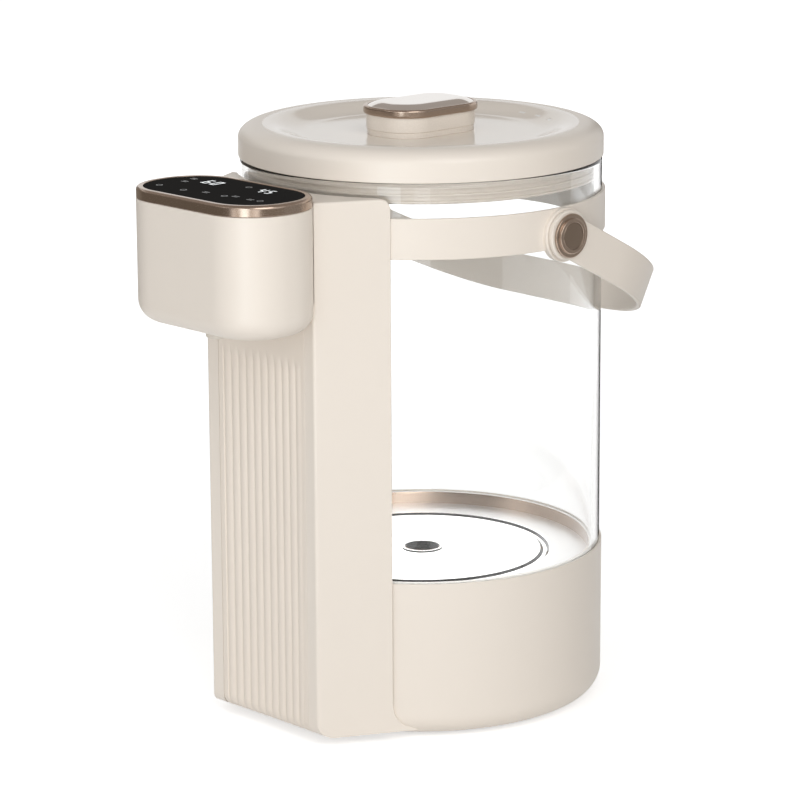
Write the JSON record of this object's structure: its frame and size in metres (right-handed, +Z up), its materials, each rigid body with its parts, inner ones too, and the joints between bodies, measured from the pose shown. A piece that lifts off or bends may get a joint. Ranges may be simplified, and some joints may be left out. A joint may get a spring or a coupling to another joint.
{
  "type": "electric thermo pot",
  "caption": "Electric thermo pot with a clear glass tank on a round heated base, a slim front tower with touch head and spout, a lift-off lid and a swinging bail handle.",
  "frame": {"origin": "on the tank's axis, on the plane that the feet stand on", "axes": "+Z up, -Y towards the tower, the head and the person who uses it, +X to the right seen from behind"},
  "size_m": [0.2094, 0.2746, 0.3195],
  "materials": {
    "cream_plastic": "satin",
    "fluted_plastic": "satin",
    "grey_plastic": "satin",
    "rose_metal": "polished",
    "bronze_cap": "satin",
    "mirror_cap": "polished",
    "clear_glass": "clear",
    "black_glass": "gloss",
    "pan_steel": "polished",
    "bright_steel": "bright",
    "sheet_steel": "brushed",
    "cast_aluminium": "cast",
    "silicone": "matte",
    "foot_rubber": "matte",
    "black_plastic": "matte",
    "circuit_board": "gloss",
    "contact_brass": "bright"
  },
  "bodies": {
    "pot": {"base_shell": "cream_plastic", "bottom_cover": "grey_plastic", "rubber_feet": "foot_rubber", "cover_screws": "bright_steel", "steel_pan": "pan_steel", "pan_seal": "silicone", "heat_spreader": "cast_aluminium", "heating_element": "sheet_steel", "thermostat": "black_plastic", "temperature_probe": "pan_steel", "intake_strainer": "pan_steel", "suction_hose": "silicone", "pump_housing": "grey_plastic", "pump_motor": "sheet_steel", "pump_bracket": "sheet_steel", "riser_tube": "silicone", "power_board": "circuit_board", "inlet_socket": "black_plastic", "inlet_pins": "contact_brass", "glass_tube": "clear_glass", "collar_band": "cream_plastic", "tower_housing": "cream_plastic", "tower_screws": "bright_steel", "fluted_panel": "fluted_plastic", "head_housing": "cream_plastic", "head_trim": "rose_metal", "touch_glass": "black_glass", "display_board": "circuit_board", "head_bracket": "sheet_steel", "spout_nozzle": "grey_plastic", "spout_seal": "silicone", "pivot_pin_left": "bright_steel", "pivot_pin_right": "bright_steel", "boss_ring_left": "rose_metal", "boss_ring_right": "rose_metal", "boss_cap_left": "bronze_cap", "boss_cap_right": "bronze_cap"},
    "handle": {"bail_handle": "cream_plastic"},
    "lid": {"lid_shell": "cream_plastic", "lid_plug": "grey_plastic", "lid_gasket": "silicone", "plug_seal": "silicone", "knob_body": "cream_plastic", "knob_ring": "rose_metal", "knob_cap": "mirror_cap", "knob_screw": "bright_steel"},
    "pump_rotor": {"pump_impeller": "grey_plastic"}
  },
  "joints": [
    {"name": "handle_swing", "type": "hinge", "parent": "pot", "child": "handle", "pos_m": [0, 0.0075, 0.2595], "axis": [1, 0, 0], "range_deg": [0, 118]},
    {"name": "lid_lift", "type": "slide", "parent": "pot", "child": "lid", "axis": [0, 0, 1], "range_m": [0, 0.018]},
    {"name": "pump_spin", "type": "hinge", "parent": "pot", "child": "pump_rotor", "pos_m": [0.024, -0.03807, 0.035], "axis": [0, 0, 1], "continuous": true}
  ]
}
